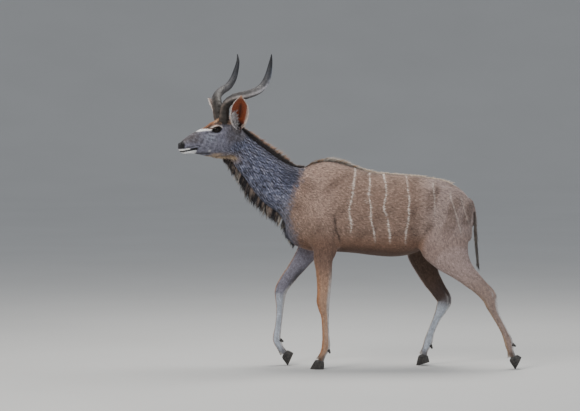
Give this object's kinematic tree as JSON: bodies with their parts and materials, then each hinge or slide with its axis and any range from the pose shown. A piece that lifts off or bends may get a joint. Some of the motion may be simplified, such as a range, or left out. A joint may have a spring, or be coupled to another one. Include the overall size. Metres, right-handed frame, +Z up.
{
  "type": "greater kudu, a still life-size model of a young bull in mid-stride",
  "caption": "Life-size still model of a walking greater kudu bull with open spiral horns, nape mane, throat fringe and pale side stripes.",
  "frame": {"origin": "on the floor, below the middle of the animal's box", "axes": "+Z up, -X towards the nose, -Y towards the animal's left side"},
  "size_m": [2.0932, 0.5749, 1.9246],
  "materials": {
    "coat": "short matt hair, warm grey brown with thin pale stripes",
    "neck_coat": "slate grey hair with a tan and black mane",
    "horn": "keratin, ringed near the base and smooth to the tips",
    "hoof": "black keratin",
    "eye": "wet gloss"
  },
  "bodies": {
    "root": {"ear_left": "coat", "ear_right": "coat", "eye_left": "eye", "eye_right": "eye", "fore_left_dewclaw_inner": "hoof", "fore_left_dewclaw_outer": "hoof", "fore_left_hoof_inner": "hoof", "fore_left_hoof_outer": "hoof", "fore_left_lower": "coat", "fore_left_upper": "coat", "fore_right_dewclaw_inner": "hoof", "fore_right_dewclaw_outer": "hoof", "fore_right_hoof_inner": "hoof", "fore_right_hoof_outer": "hoof", "fore_right_lower": "coat", "fore_right_upper": "coat", "head": "coat", "hind_left_dewclaw_inner": "hoof", "hind_left_dewclaw_outer": "hoof", "hind_left_hoof_inner": "hoof", "hind_left_hoof_outer": "hoof", "hind_left_lower": "coat", "hind_left_upper": "coat", "hind_right_dewclaw_inner": "hoof", "hind_right_dewclaw_outer": "hoof", "hind_right_hoof_inner": "hoof", "hind_right_hoof_outer": "hoof", "hind_right_lower": "coat", "hind_right_upper": "coat", "horn_left": "horn", "horn_right": "horn", "neck": "neck_coat", "tail": "coat", "torso": "coat"}
  },
  "joints": []
}
